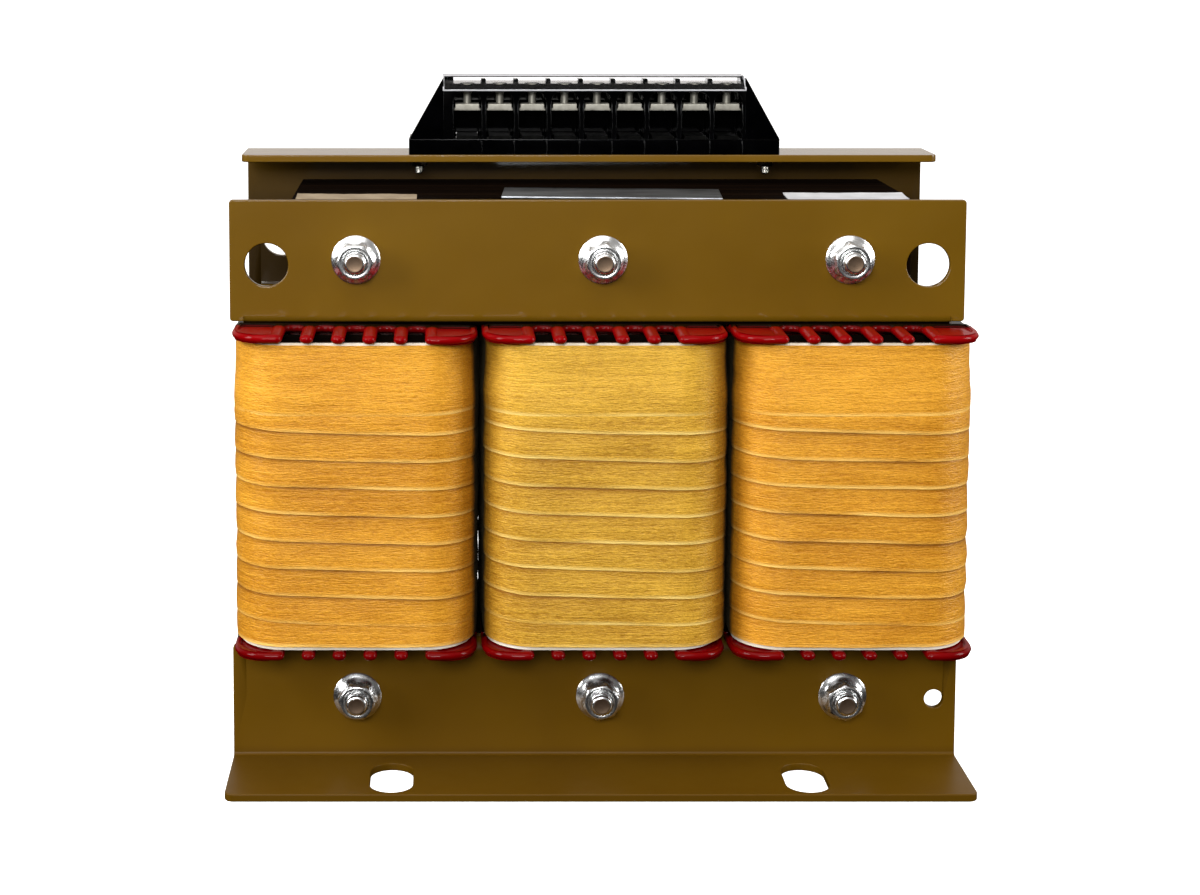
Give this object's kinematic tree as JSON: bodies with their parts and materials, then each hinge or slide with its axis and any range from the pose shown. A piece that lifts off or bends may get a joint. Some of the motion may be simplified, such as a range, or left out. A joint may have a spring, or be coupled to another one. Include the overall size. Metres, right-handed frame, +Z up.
{
  "type": "three-phase transformer",
  "caption": "Open dry-type three-phase transformer: laminated core in folded steel clamps, taped coils on red comb-edged flanges, terminal block on a rear shelf.",
  "frame": {"origin": "floor level under the middle of the whole part, 1.2 mm left of the middle leg", "axes": "+X along the core to the right as seen from the front, +Y to the back where the terminal shelf is, +Z up"},
  "size_m": [0.3304, 0.19, 0.3087],
  "materials": {
    "lamination": "satin",
    "packing": "matte",
    "paint": "satin",
    "zinc": "satin",
    "sleeve": "matte",
    "flange_red": "gloss",
    "copper": "satin",
    "paper": "matte",
    "tape": "gloss",
    "bare_steel": "satin",
    "block_black": "gloss",
    "terminal_metal": "satin",
    "clear_cover": "gloss"
  },
  "bodies": {
    "root": {"core_e_stack": "lamination", "core_i_yoke": "lamination", "front_top_board": "packing", "rear_top_board": "packing", "front_bottom_board": "packing", "rear_bottom_board": "packing", "front_top_clamp": "paint", "rear_top_clamp": "paint", "front_bottom_clamp": "paint", "rear_bottom_clamp": "paint", "clamp_bolts": "zinc", "clamp_nuts": "zinc", "bolt_sleeves": "sleeve", "left_former": "flange_red", "left_inner_winding": "copper", "left_layer_insulation": "paper", "left_outer_winding": "copper", "left_paper": "paper", "left_tape_wrap": "tape", "left_top_flange": "flange_red", "left_bottom_flange": "flange_red", "middle_former": "flange_red", "middle_inner_winding": "copper", "middle_layer_insulation": "paper", "middle_outer_winding": "copper", "middle_paper": "paper", "middle_tape_wrap": "tape", "middle_top_flange": "flange_red", "middle_bottom_flange": "flange_red", "right_former": "flange_red", "right_inner_winding": "copper", "right_layer_insulation": "paper", "right_outer_winding": "copper", "right_paper": "paper", "right_tape_wrap": "tape", "right_top_flange": "flange_red", "right_bottom_flange": "flange_red", "bare_plate": "bare_steel", "left_paper_tab": "paper", "right_paper_tab": "paper", "terminal_body": "block_black", "terminal_bars": "terminal_metal", "pressure_plates": "terminal_metal", "terminal_screws": "terminal_metal", "terminal_cover": "clear_cover", "fixing_screws": "zinc"}
  },
  "joints": []
}
